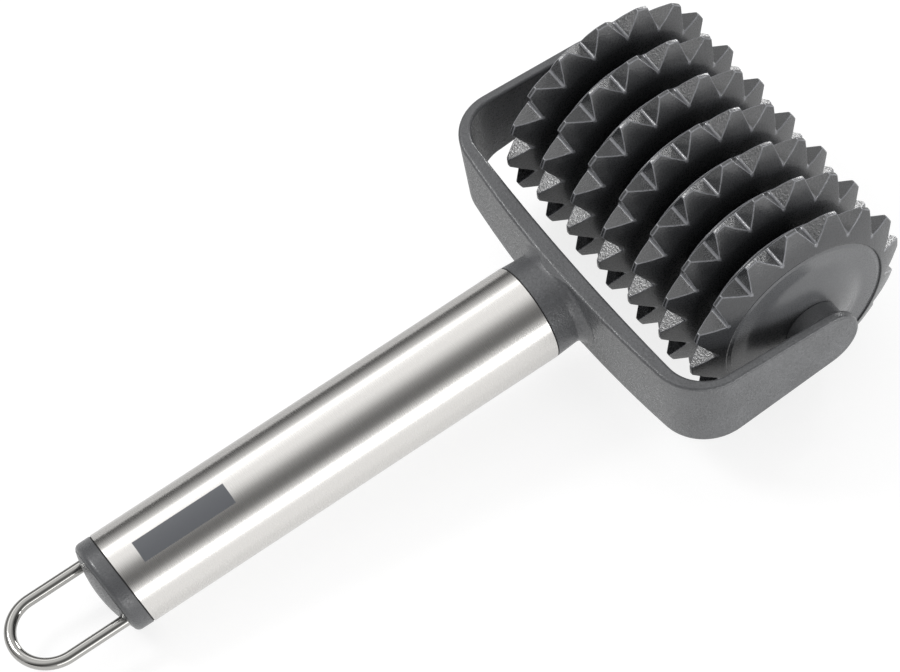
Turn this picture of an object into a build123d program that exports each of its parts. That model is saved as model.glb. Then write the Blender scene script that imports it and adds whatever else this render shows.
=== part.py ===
"""Hand roller meat tenderiser: seven toothed discs on one roller, held in a
moulded yoke on a stainless tube handle with a wire hanging loop.

Frame: +X runs from the handle to the roller, +Y across the roller, +Z up.
The origin is the middle of the grip tube, on its axis.  Millimetres.
"""

import os
from math import acos, atan2, cos, hypot, pi, radians, sin, tan

from build123d import *

# ---------------------------------------------------------------- handle
TUBE_R = 12.5            # outer radius of the grip tube
TUBE_WALL = 0.8
TUBE_LENGTH = 116.1      # on the axis, from the slanted rear cut to the collar
REAR_SLANT = 8.9         # degrees that the rear end is cut off square
CAP_BAND = 4.65          # length of the end cap that shows behind the tube
CAP_EDGE = 1.6           # rounding of the cap's rear rim
CAP_PLUG = 20.0          # spigot of the end cap inside the tube
TANG_LENGTH = 34.0       # spigot of the yoke inside the tube
SPIGOT_R = TUBE_R - TUBE_WALL - 0.02
MOULD_R = TUBE_R - 0.05  # collar and cap, where they meet the tube
CAP_DRAFT = 0.6          # degrees of draft on the cap, away from the tube
SEAL = 0.35              # thickness of the thin sealing rings at both tube ends
SEAL_R = MOULD_R - 0.2   # the rings sit back from the surface

# ---------------------------------------------------------------- hanging loop
WIRE_R = 1.5
LOOP_HALF = 9.35         # half the distance between the legs
LOOP_Z = -1.0            # the loop lies a little under the axis
LOOP_BEND_X = -78.65     # centre of the round end
LEG_DEPTH = 14.0         # wire held inside the cap's spigot

# ---------------------------------------------------------------- roller
DISCS = 7
PITCH = 12.62            # from disc to disc
TEETH = 16
TIP_R = 30.3
VALLEY_R = 25.0
SHOULDER_R = 23.0        # where the flat cheek turns into the bevel
CHEEK_HALF = 3.95        # half thickness of a disc at the cheek
VALLEY_HALF = 3.21       # half thickness where the valleys break out
TIP_HALF = 0.22          # half thickness of the tooth's land
LAND = 3.0               # width of the tooth's land along the rim
ROOT_ROUND = 0.45        # radius at the bottom of a valley
TOOTH_PHASE = 2.45       # degrees from +X to the nearest tooth

HUB_R = 12.0             # spacer rings between the discs
CORE_AF = 17.0           # the core tube is hexagonal: size across flats
CORE_BORE_R = 5.0
AXLE_R = 3.0
BUSH_LENGTH = 10.0
RUN = 0.05               # radial running clearance of the bushes on the axle
COVER_R = 22.6           # smooth cover let into each end disc
COVER_T = 1.4            # flush with the cheek as far as the dome
COVER_RIM = 1.2          # width of the bevel round the cover
COVER_RIM_DROP = 0.35
DOME_RISE = 2.65         # the middle of the cover swells towards the arm
DOME = ((16.3, 0.0), (12.5, 1.49), (8.0, DOME_RISE))    # radius and height on its flank
DOME_ROUND = (6.0, 30.0, 8.0)                           # rounding at these three

AXLE_X = 108.95          # roller axis, seen from the middle of the grip
AXLE_Z = -0.3
ROLLER_HALF = (DISCS - 1) / 2 * PITCH + CHEEK_HALF

# ---------------------------------------------------------------- yoke
YOKE_HALF = 51.87        # outer faces of the arms
ARM_T = 2.6
BAR_T = 4.7              # in the middle; the bar thins towards the corners
BAR_X = 66.42            # rear face of the cross bar, on the axis
BAR_BOW_R = 344.0        # both faces of the bar bow gently towards the handle
BAR_INNER_BOW_R = 700.0
CORNER_R = 13.5
INNER_CORNER_R = 10.1
YOKE_TOP = 12.4          # height of the band at the bar; it narrows towards
YOKE_BOTTOM = -12.2      # the round ends of the arms
ARM_END_R = 8.7          # the end is round about the axle
EDGE = 0.8               # rounding of the yoke's long edges
COLLAR_DRAFT = 4.0       # degrees; the collar narrows from the tube to the bar
FLARE_R = 2.6            # and flares out again where it meets the bar
FLARE_SETBACK = 0.2      # the flare ends just short of the bar's top and bottom
BOSS_R = 7.1
WASHER_T = 0.5
WASHER_R = 5.6
WASHER_SEAT = 0.3        # radial play of the washer in the cover
SIDE_GAP = 0.15          # axial play of the roller at each end
SOCKET_DEPTH = 1.3       # how far the axle socket enters the arm behind the boss
BOSS_ROOT = 0.5          # overlap of the boss with the arm
AXLE_CHAMFER = 0.4
HOLE_PLAY = 0.6          # the axle passes freely through the cover

SEAT_X = TUBE_LENGTH / 2
COLLAR_X = SEAT_X + SEAL
ARM_INNER = YOKE_HALF - ARM_T
WASHER_OUT = ROLLER_HALF + DOME_RISE + SIDE_GAP
ARM_END_X = AXLE_X + ARM_END_R
CLEAR = 1.0              # how far a cutting body stands out of what it cuts


def along_x(solid, x, y=0.0, z=0.0):
    """Turn a solid built up the Z axis so that it lies along +X."""
    return Pos(x, y, z) * Rot(0, 90, 0) * solid


def along_y(solid, x, y, z):
    """Turn a solid built up the Z axis so that it lies along +Y."""
    return Pos(x, y, z) * Rot(-90, 0, 0) * solid


def rod_x(radius, x0, x1, y=0.0, z=0.0):
    rod = Cylinder(radius, x1 - x0, align=(Align.CENTER, Align.CENTER, Align.MIN))
    return along_x(rod, x0, y, z)


def rod_y(radius, y0, y1, x=AXLE_X, z=AXLE_Z):
    rod = Cylinder(radius, y1 - y0, align=(Align.CENTER, Align.CENTER, Align.MIN))
    return along_y(rod, x, y0, z)


def slanted_block(x_rear):
    """Everything in front of the slanted plane that crosses the axis at x_rear."""
    width = 6 * TUBE_R
    block = Box(3 * TUBE_LENGTH, width, width, align=(Align.MIN, Align.CENTER, Align.CENTER))
    return Pos(x_rear, 0, 0) * Rot(0, -REAR_SLANT, 0) * block


# ------------------------------------------------------------------ handle
def handle_tube():
    """Round stainless tube: square in front, cut on a slant behind."""
    rear = -SEAT_X - TUBE_R
    bore = rod_x(TUBE_R - TUBE_WALL, rear - CLEAR, SEAT_X + CLEAR)
    return (rod_x(TUBE_R, rear, SEAT_X) - bore) & slanted_block(-SEAT_X)


def seal_ring_front():
    return rod_x(SEAL_R, SEAT_X, COLLAR_X) - rod_x(SPIGOT_R, SEAT_X - CLEAR, COLLAR_X + CLEAR)


def rear_slice(body, x_rear, x_front):
    """The part of a round body between two planes that share the slant of the rear end."""
    return (body & slanted_block(x_rear)) - slanted_block(x_front)


def seal_ring_rear():
    around, beyond = -SEAT_X - TUBE_R, -SEAT_X + TUBE_R
    ring = rod_x(SEAL_R, around, beyond) - rod_x(SPIGOT_R, around - CLEAR, beyond + CLEAR)
    return rear_slice(ring, -SEAT_X - SEAL, -SEAT_X)


def leg_rod(y, x0, x1):
    return rod_x(WIRE_R, x0, x1, y, LOOP_Z)


def end_cap():
    """Moulded cap: a slanted band flush with the tube and a spigot inside it."""
    seam = -SEAT_X - SEAL
    rear = seam - CAP_BAND
    slant_reach = TUBE_R * tan(radians(REAR_SLANT))
    length = CAP_BAND + 2 * slant_reach
    thin = MOULD_R - length * tan(radians(CAP_DRAFT))
    cone = Cone(MOULD_R, thin, length, align=(Align.CENTER, Align.CENTER, Align.MIN))
    band = rear_slice(Pos(seam + slant_reach, 0, 0) * Rot(0, -90, 0) * cone, rear, seam)
    rim = band.edges().filter_by(GeomType.LINE, reverse=True).sort_by(Axis.X)[0]
    band = fillet(rim, CAP_EDGE)
    spigot = rod_x(SPIGOT_R, rear, -SEAT_X + CAP_PLUG) & slanted_block(seam)
    cap = band + spigot
    front = -SEAT_X + LEG_DEPTH
    for side in (-1, 1):
        cap -= leg_rod(side * LOOP_HALF, rear - CAP_BAND, front)
    return cap


def hanging_loop():
    """One polished wire bent to a U; its two legs are moulded into the cap."""
    leg_end = -SEAT_X + LEG_DEPTH
    loop = leg_rod(LOOP_HALF, LOOP_BEND_X, leg_end) + leg_rod(-LOOP_HALF, LOOP_BEND_X, leg_end)
    centre = Vector(LOOP_BEND_X, 0, LOOP_Z)
    section = Plane(origin=centre, x_dir=(0, 1, 0), z_dir=(1, 0, 0)) * Pos(LOOP_HALF, 0) * Circle(WIRE_R)
    bend = revolve(section, Axis(centre, (0, 0, 1)), 180)
    return loop + bend


# ------------------------------------------------------------------ yoke
def plan_outline(bar_x, bow_r, half, corner, arm_end):
    """Face of the U seen from above: bowed bar, round corners, straight arms."""
    bow_x = bar_x + bow_r
    reach = bow_r - corner
    corner_y = half - corner
    corner_x = bow_x - (reach**2 - corner_y**2) ** 0.5
    tangent = (bow_x - (bow_x - corner_x) * bow_r / reach, corner_y * bow_r / reach)
    middle_angle = 0.5 * (pi / 2 + pi - corner_y / reach)
    middle = (corner_x + corner * cos(middle_angle), corner_y + corner * sin(middle_angle))

    def mirrored(point):
        return (point[0], -point[1])

    outline = [
        ThreePointArc(mirrored(tangent), (bar_x, 0), tangent),
        ThreePointArc(tangent, middle, (corner_x, half)),
        Line((corner_x, half), (arm_end, half)),
        Line((arm_end, half), (arm_end, -half)),
        Line((arm_end, -half), (corner_x, -half)),
        ThreePointArc((corner_x, -half), mirrored(middle), mirrored(tangent)),
    ]
    return make_face(Wire(outline))


def touch_point(x, z):
    """Where a line from (x, z) runs into the round end of the arm."""
    turn = acos(ARM_END_R / hypot(x - AXLE_X, z - AXLE_Z))
    angle = atan2(z - AXLE_Z, x - AXLE_X) + (turn if z < AXLE_Z else -turn)
    return AXLE_X + ARM_END_R * cos(angle), AXLE_Z + ARM_END_R * sin(angle)


def side_outline():
    """Side view of the yoke: a band that narrows to round ends about the axle."""
    top, bottom = touch_point(BAR_X, YOKE_TOP), touch_point(BAR_X, YOKE_BOTTOM)
    behind = BAR_X - BAR_T

    def carried_back(point, z):
        return behind, z + (z - point[1]) * BAR_T / (point[0] - BAR_X)

    top_rear, bottom_rear = carried_back(top, YOKE_TOP), carried_back(bottom, YOKE_BOTTOM)
    return make_face(Wire([
        Line(top_rear, top),
        ThreePointArc(top, (ARM_END_X, AXLE_Z), bottom),
        Line(bottom, bottom_rear),
        Line(bottom_rear, top_rear),
    ]))


def yoke_band():
    """The U itself, with all its long edges rounded."""
    outer = plan_outline(BAR_X, BAR_BOW_R, YOKE_HALF, CORNER_R, ARM_END_X + CLEAR)
    inner = plan_outline(BAR_X + BAR_T, BAR_INNER_BOW_R, YOKE_HALF - ARM_T, INNER_CORNER_R,
                         ARM_END_X + 2 * CLEAR)
    band = extrude(outer - inner, 2 * TUBE_R, both=True)
    band &= extrude(Plane.XZ * side_outline(), YOKE_HALF + CLEAR, both=True)
    rims = [edge for edge in band.edges() if edge.length > ARM_T + CLEAR and abs((edge % 0.5).Z) < 0.3]
    return fillet(rims, EDGE)


def collar():
    """Neck between tube and bar: drafted, flared at the bar, no higher than the bar."""
    draft = tan(radians(COLLAR_DRAFT))
    flare_end = BAR_X + TUBE_R**2 / (2 * BAR_BOW_R)
    neck_x = flare_end - FLARE_R
    neck_r = MOULD_R - (neck_x - COLLAR_X) * draft
    bend = FLARE_R * sin(radians(45))
    inside = BAR_X + BAR_T / 2
    profile = Wire([
        Line((COLLAR_X, 0), (COLLAR_X, MOULD_R)),
        Line((COLLAR_X, MOULD_R), (neck_x, neck_r)),
        ThreePointArc((neck_x, neck_r), (neck_x + bend, neck_r + FLARE_R - bend),
                      (flare_end, neck_r + FLARE_R)),
        Line((flare_end, neck_r + FLARE_R), (inside, neck_r + FLARE_R)),
        Line((inside, neck_r + FLARE_R), (inside, 0)),
        Line((inside, 0), (COLLAR_X, 0)),
    ])
    neck = revolve(make_face(profile), Axis.X)
    high, low = YOKE_TOP - FLARE_SETBACK, YOKE_BOTTOM + FLARE_SETBACK
    throat = make_face(Polyline((COLLAR_X, 2 * high - neck_r), (BAR_X, high), (inside, high), (inside, low),
                                (BAR_X, low), (COLLAR_X, 2 * low + neck_r), close=True))
    return neck & extrude(Plane.XZ * throat, 2 * TUBE_R, both=True)


def yoke_frame():
    """Glass-filled nylon moulding: U-shaped yoke, collar, tang and axle bosses."""
    frame = yoke_band() + collar()
    frame += rod_x(SPIGOT_R, SEAT_X - TANG_LENGTH, COLLAR_X + CLEAR)
    for side in (-1, 1):
        frame += rod_y(BOSS_R, *sorted((side * (ARM_INNER + BOSS_ROOT), side * WASHER_OUT)))
        frame -= rod_y(AXLE_R, *sorted((side * (ARM_INNER + SOCKET_DEPTH), side * (WASHER_OUT - CLEAR))))
    return frame


# ------------------------------------------------------------------ roller
def disc_blank():
    """Turned shape of a disc: flat cheeks, crowned bevels, thin rim."""
    half = [
        (0, CHEEK_HALF), (SHOULDER_R, CHEEK_HALF), (VALLEY_R, VALLEY_HALF), (TIP_R, TIP_HALF),
    ]
    top = [Line(half[0], half[1]), ThreePointArc(half[1], half[2], half[3])]
    rim = Line(half[3], (TIP_R, -TIP_HALF))
    bottom = [ThreePointArc((TIP_R, -TIP_HALF), (VALLEY_R, -VALLEY_HALF), (SHOULDER_R, -CHEEK_HALF)),
              Line((SHOULDER_R, -CHEEK_HALF), (0, -CHEEK_HALF)), Line((0, -CHEEK_HALF), half[0])]
    return revolve(Plane.XZ * make_face(Wire(top + [rim] + bottom)), Axis.Z)


def valley_cutter():
    """V-shaped prism that cuts one valley, with a rounded root."""
    pitch_angle = 2 * pi / TEETH
    open_half = TIP_R * sin(pitch_angle / 2) - LAND / 2 * cos(pitch_angle / 2)
    open_r = TIP_R * cos(pitch_angle / 2) + LAND / 2 * sin(pitch_angle / 2)
    slope = open_half / (open_r - VALLEY_R)
    top_r = TIP_R + CLEAR
    vee = Polyline((VALLEY_R - ROOT_ROUND, 0), (top_r, slope * (top_r - VALLEY_R + ROOT_ROUND)),
                   (top_r, -slope * (top_r - VALLEY_R + ROOT_ROUND)), close=True)
    face = make_face(vee)
    root = face.vertices().sort_by(Axis.X)[0]
    return extrude(fillet(root, ROOT_ROUND), CHEEK_HALF + CLEAR, both=True)


def hexagon_bar(across_flats, length):
    return extrude(RegularPolygon(across_flats / 2, 6, major_radius=False), length)


def toothed_disc_shape():
    """One disc about the Z axis: sixteen double-bevelled teeth and a hexagonal bore."""
    disc = disc_blank()
    cutter = valley_cutter()
    step = 360 / TEETH
    cutters = [Rot(0, 0, TOOTH_PHASE + step * (k + 0.5)) * cutter for k in range(TEETH)]
    disc -= cutters
    return disc - Pos(0, 0, -PITCH) * hexagon_bar(CORE_AF, 2 * PITCH)


def disc_y(index):
    return (index - (DISCS - 1) / 2) * PITCH


def build_discs():
    """Seven discs, all in phase; the two outer ones carry a recess for their cover."""
    shape = toothed_disc_shape()
    recess = Pos(0, 0, CHEEK_HALF - COVER_T) * Cylinder(
        COVER_R, COVER_T + CLEAR, align=(Align.CENTER, Align.CENTER, Align.MIN))
    for index in range(DISCS):
        disc = shape
        if index == 0:
            disc = shape - Rot(180, 0, 0) * recess
        if index == DISCS - 1:
            disc = shape - recess
        yield f"toothed_disc_{index + 1}", along_y(disc, AXLE_X, disc_y(index), AXLE_Z)


def build_spacers():
    """Rings that hold the discs apart on the hexagonal core."""
    length = PITCH - 2 * CHEEK_HALF
    ring = Cylinder(HUB_R, length) - Pos(0, 0, -length) * hexagon_bar(CORE_AF, 2 * length)
    for index in range(DISCS - 1):
        middle = (disc_y(index) + disc_y(index + 1)) / 2
        yield f"spacer_ring_{index + 1}", along_y(ring, AXLE_X, middle, AXLE_Z)


def roller_core():
    """Hexagonal tube that keys the discs together."""
    half = ROLLER_HALF - COVER_T
    bar = Pos(0, 0, -half) * hexagon_bar(CORE_AF, 2 * half)
    return along_y(bar - Cylinder(CORE_BORE_R, 3 * half), AXLE_X, 0, AXLE_Z)


def end_cover(side):
    """Smooth cap on an end of the roller, domed towards the arm round the washer."""
    face, back = ROLLER_HALF, ROLLER_HALF - COVER_T
    hole, seat_r = AXLE_R + HOLE_PLAY, WASHER_R + WASHER_SEAT
    crown = face + DOME_RISE
    flank = [(radius, face + height) for radius, height in DOME]
    profile = make_face(Polyline(
        (hole, back), (COVER_R, back), (COVER_R, face - COVER_RIM_DROP), (COVER_R - COVER_RIM, face),
        *flank, (seat_r, crown), (seat_r, crown - WASHER_T), (hole, crown - WASHER_T), close=True))
    for (radius, height), rounding in zip(flank, DOME_ROUND):
        corner = profile.vertices().sort_by_distance(Vector(radius, height, 0))[0]
        profile = fillet(corner, rounding)
    cover = revolve(Plane.XZ * profile, Axis.Z)
    if side < 0:
        cover = Rot(180, 0, 0) * cover
    return along_y(cover, AXLE_X, 0, AXLE_Z)


def bush(side):
    """Plain bush pressed into the core; it runs on the axle."""
    outer = ROLLER_HALF - COVER_T
    y0, y1 = sorted((side * outer, side * (outer - BUSH_LENGTH)))
    return rod_y(CORE_BORE_R, y0, y1) - rod_y(AXLE_R + RUN, y0 - CLEAR, y1 + CLEAR)


def thrust_washer(side):
    y0, y1 = sorted((side * (WASHER_OUT - WASHER_T), side * WASHER_OUT))
    return rod_y(WASHER_R, y0, y1) - rod_y(AXLE_R, y0 - CLEAR, y1 + CLEAR)


def axle_pin():
    """Steel rod that rests in a blind socket in each arm."""
    half = ARM_INNER + SOCKET_DEPTH
    pin = rod_y(AXLE_R, -half, half)
    return chamfer(pin.edges().filter_by(GeomType.CIRCLE), AXLE_CHAMFER)


def build_parts():
    yield "yoke_frame", yoke_frame()
    yield "handle_tube", handle_tube()
    yield "seal_ring_front", seal_ring_front()
    yield "seal_ring_rear", seal_ring_rear()
    yield "end_cap", end_cap()
    yield "hanging_loop", hanging_loop()
    yield "axle_pin", axle_pin()
    yield "roller_core", roller_core()
    for name, side in (("near", -1), ("far", 1)):
        yield f"bush_{name}", bush(side)
        yield f"end_cover_{name}", end_cover(side)
        yield f"thrust_washer_{name}", thrust_washer(side)
    yield from build_discs()
    yield from build_spacers()


os.makedirs("parts", exist_ok=True)
for node, solid in build_parts():
    solid.label = node
    export_step(solid, f"parts/{node}.step")
    print(f"{node:20s} {solid.volume:10.1f} mm3")
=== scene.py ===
"""Looks of a hand roller meat tenderiser: brushed tube handle with a wire loop,
a moulded yoke and seven toothed discs.  Metres, in the frame of the CAD part:
+X from the handle to the roller, +Y across the roller, +Z up.
"""

import math

import bpy
from mathutils import Matrix, Vector


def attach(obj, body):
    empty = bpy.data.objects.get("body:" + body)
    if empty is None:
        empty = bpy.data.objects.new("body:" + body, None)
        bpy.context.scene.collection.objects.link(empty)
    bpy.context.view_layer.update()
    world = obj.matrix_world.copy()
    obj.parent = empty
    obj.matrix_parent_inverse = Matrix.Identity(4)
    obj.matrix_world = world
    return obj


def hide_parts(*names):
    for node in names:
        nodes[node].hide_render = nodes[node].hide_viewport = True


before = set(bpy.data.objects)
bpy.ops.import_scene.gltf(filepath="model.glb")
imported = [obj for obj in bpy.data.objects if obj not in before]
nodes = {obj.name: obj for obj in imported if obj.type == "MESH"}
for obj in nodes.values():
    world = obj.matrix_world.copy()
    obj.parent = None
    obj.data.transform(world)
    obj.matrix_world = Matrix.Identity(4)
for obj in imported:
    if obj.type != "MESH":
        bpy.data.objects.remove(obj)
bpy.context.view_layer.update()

# ------------------------------------------------------------------ tube handle
# Round tube of stainless steel, cut square in front and on a slant behind.
# It is ground round its girth with a fine belt, which leaves thousands of
# short hairlines round the tube and draws reflections out along it. A plain
# field near the rear end is etched dull and dark.
MM = 0.001
TUBE_STEEL = "#D5D3D0"
TUBE_ROUGHNESS = (0.20, 0.34)
ETCHED_GREY = "#606266"
ETCHED_ROUGHNESS = 0.62
FIELD_X = (-53.3 * MM, -27.9 * MM)
FIELD_ANGLE = (math.radians(92.8), math.radians(118.8))     # from +Y towards +Z
HAIRLINE = 0.16 * MM          # real hairlines are finer; this is what shows
HAIRLINE_STRETCH = 26         # how much longer than wide a hairline is
HAIRLINE_DEPTH = 0.02 * MM


def linear(code):
    """sRGB hex colour as linear RGBA."""
    parts = [int(code[i:i + 2], 16) / 255 for i in (1, 3, 5)]
    return tuple(c / 12.92 if c <= 0.04045 else ((c + 0.055) / 1.055) ** 2.4 for c in parts) + (1.0,)


def new_material(name):
    """An empty material with its node tree: (material, tree, shader)."""
    material = bpy.data.materials.new(name)
    material.use_nodes = True
    tree = material.node_tree
    tree.nodes.clear()
    shader = tree.nodes.new("ShaderNodeBsdfPrincipled")
    output = tree.nodes.new("ShaderNodeOutputMaterial")
    tree.links.new(shader.outputs["BSDF"], output.inputs["Surface"])
    return material, tree, shader


def add_node(tree, kind, settings=None, values=None, links=None):
    """Adds a node, sets its properties and socket values, and links its inputs."""
    node = tree.nodes.new(kind)
    for key, value in (settings or {}).items():
        setattr(node, key, value)
    for key, value in (values or {}).items():
        node.inputs[key].default_value = value
    for key, source in (links or {}).items():
        tree.links.new(source, node.inputs[key])
    return node


def dress(name, material):
    """Gives a CAD node its finish."""
    for entry in nodes[name].material_slots:
        entry.material = material


def brushed_steel():
    material, tree, shader = new_material("stainless_steel_brushed")
    place = add_node(tree, "ShaderNodeTexCoord").outputs["Object"]
    across, along = 1 / HAIRLINE, 1 / (HAIRLINE * HAIRLINE_STRETCH)
    stretched = add_node(tree, "ShaderNodeMapping", values={"Scale": (across, along, along)},
                         links={"Vector": place})
    lines = add_node(tree, "ShaderNodeTexNoise", values={"Scale": 1.0, "Detail": 3.0, "Roughness": 0.6},
                     links={"Vector": stretched.outputs["Vector"]})
    smoothest, roughest = TUBE_ROUGHNESS
    rough = add_node(tree, "ShaderNodeMapRange", values={"To Min": smoothest, "To Max": roughest},
                     links={"Value": lines.outputs["Fac"]})
    bump = add_node(tree, "ShaderNodeBump", values={"Strength": 0.25, "Distance": HAIRLINE_DEPTH},
                    links={"Height": lines.outputs["Fac"]})
    girth = add_node(tree, "ShaderNodeTangent", {"direction_type": "RADIAL", "axis": "X"})
    axes = add_node(tree, "ShaderNodeSeparateXYZ", links={"Vector": place}).outputs
    angle = add_node(tree, "ShaderNodeMath", {"operation": "ARCTAN2"}, links={0: axes["Z"], 1: axes["Y"]})
    field = None
    for source, limits in ((axes["X"], FIELD_X), (angle.outputs[0], FIELD_ANGLE)):
        within = add_node(tree, "ShaderNodeMath", {"operation": "COMPARE"},
                          {1: sum(limits) / 2, 2: (limits[1] - limits[0]) / 2}, {0: source}).outputs[0]
        field = within if field is None else add_node(
            tree, "ShaderNodeMath", {"operation": "MULTIPLY"}, links={0: field, 1: within}).outputs[0]
    colour = add_node(tree, "ShaderNodeMix", {"data_type": "RGBA"}, links={"Factor": field})
    colour.inputs[6].default_value = linear(TUBE_STEEL)
    colour.inputs[7].default_value = linear(ETCHED_GREY)
    metal = add_node(tree, "ShaderNodeMath", {"operation": "SUBTRACT"}, {0: 1.0}, {1: field})
    rough = add_node(tree, "ShaderNodeMix", {"data_type": "FLOAT"}, {"B": ETCHED_ROUGHNESS},
                     {"Factor": field, "A": rough.outputs["Result"]})
    tree.links.new(colour.outputs[2], shader.inputs["Base Color"])
    tree.links.new(metal.outputs[0], shader.inputs["Metallic"])
    shader.inputs["Anisotropic"].default_value = 0.75
    shader.inputs["Anisotropic Rotation"].default_value = 0.25
    tree.links.new(girth.outputs["Tangent"], shader.inputs["Tangent"])
    tree.links.new(rough.outputs[0], shader.inputs["Roughness"])
    tree.links.new(bump.outputs["Normal"], shader.inputs["Normal"])
    return material


dress("handle_tube", brushed_steel())

# ------------------------------------------------------------------ seals
# Thin rings of black rubber between the tube and the two mouldings.
SEAL_BLACK = "#101011"
SEAL_GRAIN = 0.4 * MM


def rubber():
    material, tree, shader = new_material("seal_rubber_moulded")
    place = add_node(tree, "ShaderNodeTexCoord").outputs["Object"]
    grain = add_node(tree, "ShaderNodeTexNoise", values={"Scale": 1 / SEAL_GRAIN}, links={"Vector": place})
    rough = add_node(tree, "ShaderNodeMapRange", values={"To Min": 0.6, "To Max": 0.8},
                     links={"Value": grain.outputs["Fac"]})
    shader.inputs["Base Color"].default_value = linear(SEAL_BLACK)
    tree.links.new(rough.outputs["Result"], shader.inputs["Roughness"])
    return material


seal_rubber = rubber()
dress("seal_ring_front", seal_rubber)
dress("seal_ring_rear", seal_rubber)

# ------------------------------------------------------------------ hanging loop
# Stainless wire bent to a U and polished; both legs are moulded into the cap.
WIRE_STEEL = "#A9A8A5"
DRAW_MARK = 1.2 * MM          # faint marks that drawing and polishing leave


def polished_wire():
    material, tree, shader = new_material("stainless_wire_polished")
    place = add_node(tree, "ShaderNodeTexCoord").outputs["Object"]
    draw = add_node(tree, "ShaderNodeTexNoise", values={"Scale": 1 / DRAW_MARK, "Detail": 2.0},
                    links={"Vector": place})
    rough = add_node(tree, "ShaderNodeMapRange", values={"To Min": 0.05, "To Max": 0.11},
                     links={"Value": draw.outputs["Fac"]})
    shader.inputs["Base Color"].default_value = linear(WIRE_STEEL)
    shader.inputs["Metallic"].default_value = 1.0
    tree.links.new(rough.outputs["Result"], shader.inputs["Roughness"])
    return material


dress("hanging_loop", polished_wire())

# ------------------------------------------------------------------ toothed discs
# Seven discs of dark glass-filled nylon, each moulded with sixteen teeth that
# are bevelled on both sides. The mould is spark eroded, coarse in the valleys
# and on the tips, finer on the bevels. Every corner and valley root is a little
# rounded, and the roundings are glossier and painted lighter as a highlight.
DISCS = 7
PITCH = 12.62 * MM
TEETH = 16
TOOTH_STEP = 2 * math.pi / TEETH
TOOTH_PHASE = math.radians(-2.45)      # the first tooth, from +X towards +Z
AXLE = Vector((108.95, 0, -0.3)) * MM
BORE_R = 9.9
CHEEK = 3.95                           # half thickness
FLANK = ((23.0, CHEEK), (25.0, 3.21), (27.6, 1.99), (30.28, 0.5))   # radius, half thickness
VALLEY_R = 25.0
LAND = 3.0                             # length of a tip along the rim
SEAT_R, SEAT_FLOOR = 22.65, 2.5        # recess for the end cover
SEAT = ((BORE_R, SEAT_FLOOR), (SEAT_R, SEAT_FLOOR), (SEAT_R, CHEEK))
SECTOR_STEPS = 6                       # facets of the cheek in one tooth's sector
ROOT_ROUND = 0.6 * MM
CORNER_ROUND = 0.2 * MM
SHARP = math.radians(30)
WELD = 0.002 * MM
ROLLER_GREY = "#3C3D3F"
SPARK_GREY = "#303133"
# Painted highlight: the roundings are coloured lighter than the rest of the disc.
PAINTED_HIGHLIGHT_GREY = "#7C7D81"
FILLED_NYLON_IOR = 1.6
GRAIN = 0.45 * MM             # the real grain is finer; this is what shows
CLOUD = 9 * MM                # slow change of shade across a moulding
SATIN, SPARK, PAINTED_HIGHLIGHT = range(3)     # the disc's material slots


def draw_profile(name, points):
    """A new object in edit mode: a small plane merged to a vertex and extruded through the points."""
    bpy.ops.object.select_all(action="DESELECT")
    bpy.ops.mesh.primitive_plane_add(size=MM, location=points[0])
    piece = bpy.context.object
    piece.name = name
    bpy.ops.object.transform_apply()
    bpy.ops.object.mode_set(mode="EDIT")
    bpy.ops.mesh.select_mode(type="VERT")
    bpy.ops.mesh.merge(type="CENTER")
    for start, end in zip(points, points[1:]):
        bpy.ops.mesh.extrude_vertices_move(TRANSFORM_OT_translate={"value": end - start})
    bpy.ops.mesh.select_all(action="SELECT")
    bpy.ops.mesh.remove_doubles(threshold=WELD)
    return piece


def on_roller(radius, y, angle):
    return AXLE + Vector((radius * math.cos(angle), y, radius * math.sin(angle))) * MM


def turn(angle, steps, copies=False):
    """Spins what is selected about the roller's axis."""
    bpy.ops.mesh.spin(steps=steps, angle=angle, center=AXLE, axis=(0, 1, 0), dupli=copies)


def pick_edges(piece, wanted):
    """Selects only the edges for which wanted(first end, second end) holds."""
    bpy.ops.mesh.select_mode(type="EDGE")
    bpy.ops.mesh.select_all(action="DESELECT")
    bpy.ops.object.mode_set(mode="OBJECT")
    corners = piece.data.vertices
    for edge in piece.data.edges:
        edge.select = wanted(*(corners[index].co for index in edge.vertices))
    bpy.ops.object.mode_set(mode="EDIT")


def radius_of(point):
    return math.hypot(point.x - AXLE.x, point.z - AXLE.z) / MM


def weld_and_orient():
    bpy.ops.mesh.select_all(action="SELECT")
    bpy.ops.mesh.remove_doubles(threshold=WELD)
    bpy.ops.mesh.delete_loose()
    bpy.ops.mesh.select_all(action="SELECT")
    bpy.ops.mesh.normals_make_consistent(inside=False)


def smooth(piece):
    """Smooth shading in which the large faces stay flat and the roundings run between them."""
    bpy.ops.object.mode_set(mode="OBJECT")
    bpy.ops.object.shade_smooth()
    piece.modifiers.new("flat_faces", "WEIGHTED_NORMAL").weight = 100
    bpy.ops.object.modifier_apply(modifier="flat_faces")


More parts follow.
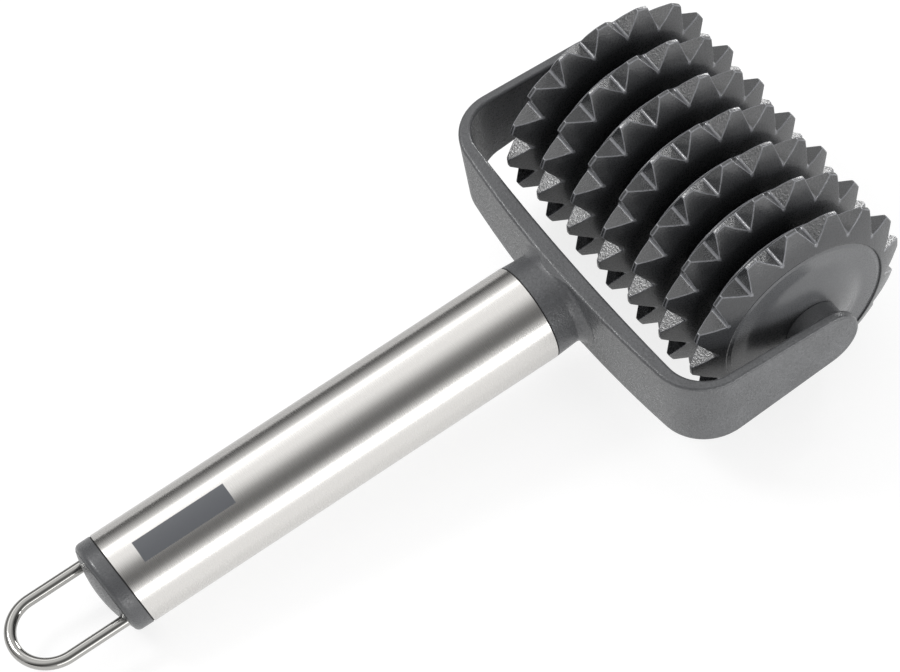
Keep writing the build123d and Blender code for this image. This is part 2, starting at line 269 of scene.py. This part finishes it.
def moulded_plastic(name, colour, roughness, depth, contrast=0.14, gloss=0.5, grain_size=GRAIN):
    """Plastic off a spark-eroded mould: a grain in shade, gloss and height, a little cloudy."""
    material, tree, shader = new_material(name)
    place = add_node(tree, "ShaderNodeTexCoord").outputs["Object"]
    grain = add_node(tree, "ShaderNodeTexNoise", values={"Scale": 1 / grain_size, "Detail": 1.0},
                     links={"Vector": place})
    cloud = add_node(tree, "ShaderNodeTexNoise", values={"Scale": 1 / CLOUD, "Detail": 2.0},
                     links={"Vector": place})
    mottle = add_node(tree, "ShaderNodeMix", {"data_type": "FLOAT"}, {"Factor": 0.35},
                      {"A": grain.outputs["Fac"], "B": cloud.outputs["Fac"]})
    spread = add_node(tree, "ShaderNodeMapRange", {}, {"From Min": 0.3, "From Max": 0.7},
                      {"Value": mottle.outputs[0]})
    shade = add_node(tree, "ShaderNodeMix", {"data_type": "RGBA"},
                     links={"Factor": spread.outputs["Result"]})
    base = linear(colour)
    shade.inputs[6].default_value = tuple(c * (1 - contrast) for c in base[:3]) + (1.0,)
    shade.inputs[7].default_value = tuple(c * (1 + contrast) for c in base[:3]) + (1.0,)
    rough = add_node(tree, "ShaderNodeMapRange", {}, {"From Min": 0.35, "From Max": 0.65,
                                                      "To Min": roughness[1], "To Max": roughness[0]},
                     {"Value": grain.outputs["Fac"]})
    bump = add_node(tree, "ShaderNodeBump", values={"Strength": 1.0, "Distance": depth},
                    links={"Height": grain.outputs["Fac"]})
    shader.inputs["IOR"].default_value = FILLED_NYLON_IOR
    shader.inputs["Specular IOR Level"].default_value = gloss
    tree.links.new(shade.outputs[2], shader.inputs["Base Color"])
    tree.links.new(rough.outputs["Result"], shader.inputs["Roughness"])
    tree.links.new(bump.outputs["Normal"], shader.inputs["Normal"])
    return material


satin_nylon = moulded_plastic("nylon_roller_satin", ROLLER_GREY, (0.24, 0.36), 0.04 * MM, 0.25)
spark_nylon = moulded_plastic("nylon_roller_spark_eroded", SPARK_GREY, (0.18, 0.38), 0.045 * MM, 0.45, 0.8)
# Glossier nylon, painted lighter to stand for the highlight along every rounding.
painted_highlight_nylon = moulded_plastic("nylon_roller_painted_highlight", PAINTED_HIGHLIGHT_GREY, (0.16, 0.24), 0.02 * MM, 0.3)


def toothed_disc(name, near_side):
    """One disc in the middle of the roller: a sector of the turned blank, cut to a tooth and repeated."""
    first = TOOTH_PHASE - TOOTH_STEP / 2
    far_side = ((BORE_R, CHEEK), *FLANK)
    disc = draw_profile(name, [on_roller(r, -y, first) for r, y in near_side]
                        + [on_roller(r, y, first) for r, y in reversed(far_side)]
                        + [on_roller(near_side[0][0], -near_side[0][1], first)])
    turn(TOOTH_STEP, SECTOR_STEPS)
    root = (VALLEY_R * math.cos(TOOTH_STEP / 2), VALLEY_R * math.sin(TOOTH_STEP / 2))
    tip = (math.sqrt(FLANK[-1][0] ** 2 - (LAND / 2) ** 2), LAND / 2)
    lean = math.atan2(tip[0] - root[0], root[1] - tip[1])
    for side in (-1, 1):
        foot = on_roller(VALLEY_R, 0, TOOTH_PHASE + side * TOOTH_STEP / 2)
        out = Vector((math.cos(TOOTH_PHASE + side * lean), 0, math.sin(TOOTH_PHASE + side * lean)))
        bpy.ops.mesh.select_all(action="SELECT")
        bpy.ops.mesh.bisect(plane_co=foot, plane_no=out, clear_outer=True)
        pick_edges(disc, lambda a, b: max(abs((a - foot).dot(out)), abs((b - foot).dot(out))) < WELD)
        bpy.ops.mesh.edge_face_add()
    bpy.ops.mesh.select_all(action="SELECT")
    turn(2 * math.pi - TOOTH_STEP, TEETH - 1, copies=True)
    weld_and_orient()
    pick_edges(disc, lambda a, b: abs(a.y - b.y) > CHEEK * MM
               and max(abs(radius_of(a) - VALLEY_R), abs(radius_of(b) - VALLEY_R)) < 0.02)
    for material in (satin_nylon, spark_nylon, painted_highlight_nylon):
        disc.data.materials.append(material)
    # The rounded valley roots get the painted highlight.
    bpy.ops.mesh.bevel(offset=ROOT_ROUND, segments=3, affect="EDGES", material=PAINTED_HIGHLIGHT)
    bpy.ops.mesh.select_all(action="DESELECT")
    bpy.ops.mesh.edges_select_sharp(sharpness=SHARP)
    bpy.ops.object.mode_set(mode="OBJECT")
    corners = disc.data.vertices
    for edge in disc.data.edges:
        if all(radius_of(corners[index].co) < VALLEY_R - 0.5 for index in edge.vertices):
            edge.select = False
    bpy.ops.object.mode_set(mode="EDIT")
    # The corner roundings get the painted highlight too.
    bpy.ops.mesh.bevel(offset=CORNER_ROUND, segments=2, affect="EDGES", material=PAINTED_HIGHLIGHT)
    smooth(disc)
    for face in disc.data.polygons:
        across = radius_of(face.center) > VALLEY_R - 0.4 and abs(face.normal.y) < 0.2
        if across and face.material_index == SATIN:
            face.material_index = SPARK
    return disc


def put_on_roller(pattern, number, name, node, turned=False):
    """A copy of what was made in the middle of the roller, at its own place in the row."""
    piece = pattern.copy()
    piece.data = pattern.data.copy()
    bpy.context.scene.collection.objects.link(piece)
    piece.name = f"{name}_{number}"
    if turned:
        flip = Matrix.Rotation(math.pi, 4, Vector((math.cos(TOOTH_PHASE), 0, math.sin(TOOTH_PHASE))))
        piece.data.transform(Matrix.Translation(AXLE) @ flip @ Matrix.Translation(-AXLE))
    piece.data.transform(Matrix.Translation(Vector((0, (number - (DISCS + 1) / 2) * PITCH, 0))))
    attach(piece, "roller")
    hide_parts(f"{node}_{number}")


inner_disc = toothed_disc("inner_disc", ((BORE_R, CHEEK), *FLANK))
end_disc = toothed_disc("end_disc", (*SEAT, *FLANK))
for number in range(1, DISCS + 1):
    pattern = end_disc if number in (1, DISCS) else inner_disc
    put_on_roller(pattern, number, "disc", "toothed_disc", turned=number == DISCS)
bpy.data.objects.remove(inner_disc)
bpy.data.objects.remove(end_disc)

# ------------------------------------------------------------------ spacer rings
# Nylon rings that hold the discs apart on the core. Each has a flange with a
# rounded rim that lies against the far cheek of its disc.
HUB_R, FLANGE_R = 12.0, 22.6
FLANGE_END, HUB_END = 5.35, PITCH / MM - CHEEK          # from the middle of the disc
SPACER_PROFILE = ((BORE_R, CHEEK), (FLANGE_R, CHEEK), (FLANGE_R, FLANGE_END),
                  (HUB_R, FLANGE_END), (HUB_R, HUB_END), (BORE_R, HUB_END))
RIM_ROUND = 0.4 * MM
RING_STEPS = 128

ring = draw_profile("ring", [on_roller(r, y, 0) for r, y in SPACER_PROFILE + SPACER_PROFILE[:1]])
turn(2 * math.pi, RING_STEPS)
weld_and_orient()
pick_edges(ring, lambda a, b: min(radius_of(a), radius_of(b)) > FLANGE_R - 0.5
           and min(a.y, b.y) > (FLANGE_END - 0.2) * MM)
for material in (satin_nylon, painted_highlight_nylon):
    ring.data.materials.append(material)
# The rim's rounding is painted lighter as a highlight.
bpy.ops.mesh.bevel(offset=RIM_ROUND, segments=3, affect="EDGES", material=1)
smooth(ring)
for number in range(1, DISCS):
    put_on_roller(ring, number, "spacer", "spacer_ring")
bpy.data.objects.remove(ring)

# ------------------------------------------------------------------ core, covers and bearings
# Hexagonal nylon core inside the discs, smooth domed covers let into both ends
# of the roller, and acetal bushes and washers that run on a ground steel axle.
CORE_GREY = "#2C2C2E"
COVER_GREY = "#5A5B5D"
ACETAL = "#DAD9D2"
AXLE_STEEL = "#B8B8B8"
GRINDING = 0.3 * MM

core_nylon = moulded_plastic("nylon_core", CORE_GREY, (0.5, 0.6), 0.01 * MM)
cover_nylon = moulded_plastic("nylon_cover_satin", COVER_GREY, (0.24, 0.32), 0.02 * MM)
acetal = moulded_plastic("acetal_bearing", ACETAL, (0.3, 0.4), 0.002 * MM, 0.03, grain_size=0.3 * MM)
dress("roller_core", core_nylon)
for side in ("near", "far"):
    dress(f"end_cover_{side}", cover_nylon)
    dress(f"bush_{side}", acetal)
    dress(f"thrust_washer_{side}", acetal)


def ground_rod():
    material, tree, shader = new_material("stainless_rod_ground")
    place = add_node(tree, "ShaderNodeTexCoord").outputs["Object"]
    lines = add_node(tree, "ShaderNodeTexNoise", values={"Scale": 1 / GRINDING}, links={"Vector": place})
    rough = add_node(tree, "ShaderNodeMapRange", values={"To Min": 0.2, "To Max": 0.3},
                     links={"Value": lines.outputs["Fac"]})
    shader.inputs["Base Color"].default_value = linear(AXLE_STEEL)
    shader.inputs["Metallic"].default_value = 1.0
    tree.links.new(rough.outputs["Result"], shader.inputs["Roughness"])
    return material


dress("axle_pin", ground_rod())

# ------------------------------------------------------------------ yoke and end cap
# Injection mouldings in dark grey glass-filled nylon. The mould is spark
# eroded, so the skin has a fine satin grain that glitters a little.
YOKE_GREY = "#565759"
CAP_GREY = "#505153"

dress("yoke_frame", moulded_plastic("glass_filled_nylon_yoke", YOKE_GREY, (0.24, 0.42), 0.08 * MM, 0.35))
cap_nylon = moulded_plastic("glass_filled_nylon_cap", CAP_GREY, (0.24, 0.40), 0.05 * MM, 0.25)
dress("end_cap", cap_nylon)

# ------------------------------------------------------------------ end cap's dome
# The rear face of the end cap, in the same nylon: it swells out from the
# rounded rim as a shallow dome, and the two legs of the loop go in through it.
CAP_REAR = Vector((-63.05, 0, 0)) * MM     # where the flat face crosses the axis
CAP_SLANT = math.radians(8.9)
CAP_OUT = Vector((-math.cos(CAP_SLANT), 0, -math.sin(CAP_SLANT)))
DOME_EDGE_R = 11.41 * MM                   # here the dome leaves the rim's rounding
DOME_SUNK = 0.103 * MM                     # which is that far below the face there
DOME_R = 32.28 * MM
DOME_STEPS = 96
LEG_HALF, LEG_Z = 9.35 * MM, -1.0 * MM
LEG_HOLE_R, LEG_HOLE_DEPTH = 1.51 * MM, 12 * MM
LEG_HOLE_STEPS = 48


def cap_dome():
    edge = CAP_REAR - CAP_OUT * DOME_SUNK
    centre = edge - CAP_OUT * math.sqrt(DOME_R**2 - DOME_EDGE_R**2)
    bpy.ops.object.select_all(action="DESELECT")
    bpy.ops.mesh.primitive_uv_sphere_add(segments=DOME_STEPS, ring_count=DOME_STEPS, radius=DOME_R,
                                         location=centre, rotation=(0, -math.pi / 2 - CAP_SLANT, 0))
    dome = bpy.context.object
    dome.name = "cap_dome"
    bpy.ops.object.transform_apply()
    bpy.ops.object.mode_set(mode="EDIT")
    bpy.ops.mesh.select_all(action="SELECT")
    bpy.ops.mesh.bisect(plane_co=edge, plane_no=CAP_OUT, use_fill=True, clear_inner=True)
    weld_and_orient()
    bpy.ops.object.mode_set(mode="OBJECT")
    for side in (-1, 1):
        bpy.ops.object.select_all(action="DESELECT")
        bpy.ops.mesh.primitive_cylinder_add(
            vertices=LEG_HOLE_STEPS, radius=LEG_HOLE_R, depth=LEG_HOLE_DEPTH,
            location=(CAP_REAR.x, side * LEG_HALF, LEG_Z), rotation=(0, math.pi / 2, 0))
        leg = bpy.context.object
        bore = dome.modifiers.new("leg_hole", "BOOLEAN")
        bore.object, bore.operation, bore.solver = leg, "DIFFERENCE", "EXACT"
        bpy.context.view_layer.objects.active = dome
        bpy.ops.object.modifier_apply(modifier="leg_hole")
        bpy.data.objects.remove(leg)
    dome.select_set(True)
    bpy.ops.object.shade_smooth_by_angle(angle=math.radians(40))
    return dome


dome = cap_dome()
dome.data.materials.append(cap_nylon)
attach(dome, "handle_and_yoke")

# ------------------------------------------------------------------ floor
# White table. The tool lies on the teeth of its roller and on the rear edge of
# the handle, so seen in the handle's frame the table slopes. The camera sees
# it washed out to white, with a light shadow left under the tool. Glossy
# surfaces see it with painted light: a glow that is bright in front of the tool and dim behind it.
FLOOR_SLOPE = math.radians(6.1)
FLOOR_SIZE = 6.0
REST_POINT = Vector((-59.5, 0, -12.5)) * MM
FLOOR_WHITE = "#F2F2F2"
FLOOR_SHADOW_GREY = "#8C8C8C"
FLOOR_GLOW = 0.80
REFLECTED_GREY = "#B8B8B8"
# Painted glow on the floor as glossy surfaces see it, brighter in front of the tool than behind it.
NEAR_PAINTED_GLOW, FAR_PAINTED_GLOW = 0.68, 0.20
NEAR_Y, FAR_Y = -0.02, 0.06             # between these the one fades to the other

bpy.ops.object.select_all(action="DESELECT")
bpy.ops.mesh.primitive_plane_add(size=FLOOR_SIZE, location=REST_POINT, rotation=(0, FLOOR_SLOPE, 0))
floor = bpy.context.object
floor.name = "floor"


def white_table():
    material, tree, shader = new_material("table_white_laminate")
    output = next(node for node in tree.nodes if node.type == "OUTPUT_MATERIAL")
    shader.inputs["Base Color"].default_value = linear(FLOOR_WHITE)
    shader.inputs["Roughness"].default_value = 0.6
    shader.inputs["Specular IOR Level"].default_value = 0.0
    paths = add_node(tree, "ShaderNodeLightPath").outputs
    looked_at = add_node(tree, "ShaderNodeMath", {"operation": "MAXIMUM"},
                         links={0: paths["Is Camera Ray"], 1: paths["Is Transmission Ray"]})
    shade = add_node(tree, "ShaderNodeBsdfDiffuse", values={"Color": linear(FLOOR_SHADOW_GREY)})
    glow = add_node(tree, "ShaderNodeEmission", values={"Strength": FLOOR_GLOW})
    washed = add_node(tree, "ShaderNodeAddShader", links={0: shade.outputs[0], 1: glow.outputs[0]})
    dull = add_node(tree, "ShaderNodeBsdfDiffuse", values={"Color": linear(REFLECTED_GREY)})
    place = add_node(tree, "ShaderNodeTexCoord").outputs["Object"]
    across = add_node(tree, "ShaderNodeSeparateXYZ", links={"Vector": place}).outputs["Y"]
    painted_glow_fade = add_node(tree, "ShaderNodeMapRange", {}, {"From Min": NEAR_Y, "From Max": FAR_Y,
                                                       "To Min": NEAR_PAINTED_GLOW, "To Max": FAR_PAINTED_GLOW},
                      {"Value": across})
    # The painted glow, fading from the front of the tool to behind it.
    painted_glow = add_node(tree, "ShaderNodeEmission", links={"Strength": painted_glow_fade.outputs["Result"]})
    mirrored = add_node(tree, "ShaderNodeAddShader", links={0: dull.outputs[0], 1: painted_glow.outputs[0]})
    inner = add_node(tree, "ShaderNodeMixShader",
                     links={0: paths["Is Glossy Ray"], 1: shader.outputs[0], 2: mirrored.outputs[0]})
    both = add_node(tree, "ShaderNodeMixShader",
                    links={0: looked_at.outputs[0], 1: inner.outputs[0], 2: washed.outputs[0]})
    tree.links.new(both.outputs[0], output.inputs["Surface"])
    return material


floor.data.materials.append(white_table())

# ------------------------------------------------------------------ light
# A studio: a ceiling in bands along the handle, dark round the camera and along
# the far horizon, and five soft boxes: a long one low on the near side, one high
# on the far side, a key from behind, and two low ones off the roller's end.
SKY_BANDS = (      # angle in degrees from +Y over the top to -Y, and brightness
    (0, 0.07), (12, 0.15), (22, 0.40), (33, 0.74), (42, 0.92), (50, 0.98), (60, 1.06), (82, 1.22),
    (96, 0.88), (110, 0.40), (124, 0.22), (132, 0.19), (142, 0.22), (151, 0.58), (160, 0.86), (180, 0.86),
)

END_FADE = (0.45, 0.85, 0.40)      # along X: where it starts, where it ends, and what is left
world = bpy.data.worlds.new("studio")
bpy.context.scene.world = world
world.use_nodes = True


def studio_sky():
    tree = world.node_tree
    tree.nodes.clear()
    output = add_node(tree, "ShaderNodeOutputWorld")
    toward = add_node(tree, "ShaderNodeTexCoord").outputs["Generated"]
    axes = add_node(tree, "ShaderNodeSeparateXYZ", links={"Vector": toward}).outputs
    angle = add_node(tree, "ShaderNodeMath", {"operation": "ARCTAN2"}, links={0: axes["Z"], 1: axes["Y"]})
    share = add_node(tree, "ShaderNodeMath", {"operation": "DIVIDE"}, {1: math.pi},
                     links={0: angle.outputs[0]})
    bands = add_node(tree, "ShaderNodeValToRGB", links={"Fac": share.outputs[0]})
    ramp = bands.color_ramp
    for degrees, level in SKY_BANDS[1:-1]:
        ramp.elements.new(degrees / 180).color = (level, level, level, 1)
    for element, (_, level) in ((ramp.elements[0], SKY_BANDS[0]), (ramp.elements[-1], SKY_BANDS[-1])):
        element.color = (level, level, level, 1)
    along = add_node(tree, "ShaderNodeMath", {"operation": "ABSOLUTE"}, links={0: axes["X"]})
    start, end, left = END_FADE
    fade = add_node(tree, "ShaderNodeMapRange", {}, {"From Min": start, "From Max": end, "To Min": 1.0,
                                                     "To Max": left}, {"Value": along.outputs[0]})
    lit = add_node(tree, "ShaderNodeBackground",
                   links={"Color": bands.outputs["Color"], "Strength": fade.outputs["Result"]})
    plain = add_node(tree, "ShaderNodeBackground", values={"Color": (1, 1, 1, 1)})
    paths = add_node(tree, "ShaderNodeLightPath").outputs
    both = add_node(tree, "ShaderNodeMixShader",
                    links={0: paths["Is Camera Ray"], 1: lit.outputs[0], 2: plain.outputs[0]})
    tree.links.new(both.outputs[0], output.inputs["Surface"])


studio_sky()


def soft_box(name, place, aim, size, power):
    lamp = bpy.data.lights.new(name, "AREA")
    lamp.shape = "RECTANGLE"
    lamp.size, lamp.size_y = size
    lamp.energy = power
    holder = bpy.data.objects.new(name, lamp)
    bpy.context.scene.collection.objects.link(holder)
    holder.location = place
    holder.rotation_euler = (Vector(aim) - Vector(place)).to_track_quat("-Z", "Y").to_euler()
    return holder


# name, place, what it faces, width and height, watts
soft_box("near_strip", (0.05, -1.0, 0.12), (0.05, 0, 0), (1.2, 0.36), 3.2)
soft_box("far_strip", (0.0, 0.62, 0.68), (0.03, 0, 0), (0.7, 0.22), 0.6)
soft_box("key", (-0.36, 0.54, 0.80), (0.11, 0, 0), (0.27, 0.25), 3.0)
soft_box("side", (1.05, 0.55, 0.20), (0.11, 0, 0), (0.4, 0.24), 4.0)
soft_box("corner", (0.85, -0.80, 0.15), (0.11, 0, 0), (0.4, 0.24), 3.2)

# ------------------------------------------------------------------ camera
# Long lens, seen from above, the near side and the handle's end, a little rolled.
VIEW_TARGET = Vector((38.41, 3.33, 5.32)) * MM
VIEW_DISTANCE = 1154.2 * MM
VIEW_AZIMUTH = math.radians(23.36)      # from -Y towards -X
VIEW_ELEVATION = math.radians(57.54)
VIEW_ROLL = math.radians(-13.10)
LENS, SENSOR = 194.8, 36                # both in millimetres

to_camera = Vector((-math.sin(VIEW_AZIMUTH) * math.cos(VIEW_ELEVATION),
                    -math.cos(VIEW_AZIMUTH) * math.cos(VIEW_ELEVATION),
                    math.sin(VIEW_ELEVATION)))
level = to_camera.to_track_quat("Z", "Y")
camera_data = bpy.data.cameras.new("camera")
camera_data.lens = LENS
camera_data.sensor_width = SENSOR
camera_data.clip_end = 10
camera = bpy.data.objects.new("camera", camera_data)
bpy.context.scene.collection.objects.link(camera)
camera.matrix_world = (Matrix.Translation(VIEW_TARGET + to_camera * VIEW_DISTANCE)
                       @ level.to_matrix().to_4x4() @ Matrix.Rotation(VIEW_ROLL, 4, "Z"))
bpy.context.scene.camera = camera
bpy.context.scene.view_settings.view_transform = "Standard"
